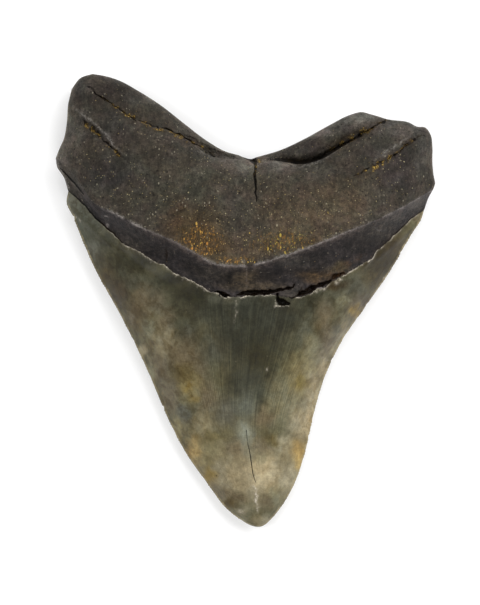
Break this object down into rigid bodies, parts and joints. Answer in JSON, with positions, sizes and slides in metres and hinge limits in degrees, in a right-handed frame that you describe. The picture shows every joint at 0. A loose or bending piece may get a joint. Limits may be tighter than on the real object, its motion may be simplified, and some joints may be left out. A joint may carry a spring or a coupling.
{
  "type": "megalodon tooth",
  "caption": "Fossil shark tooth with a broad two-lobed root, a dark band below it and a pointed, finely serrated crown, lying on its outer face.",
  "frame": {"origin": "on the plane the tooth rests on, under the middle of its box", "axes": "+Y towards the root and -Y towards the tip, +X to the right when the root is up and the inner face is seen, +Z out of the inner face"},
  "size_m": [0.0948, 0.1132, 0.0251],
  "materials": {
    "fossil": "matt root, satin enamel"
  },
  "bodies": {
    "root": {"tooth": "fossil"}
  },
  "joints": []
}
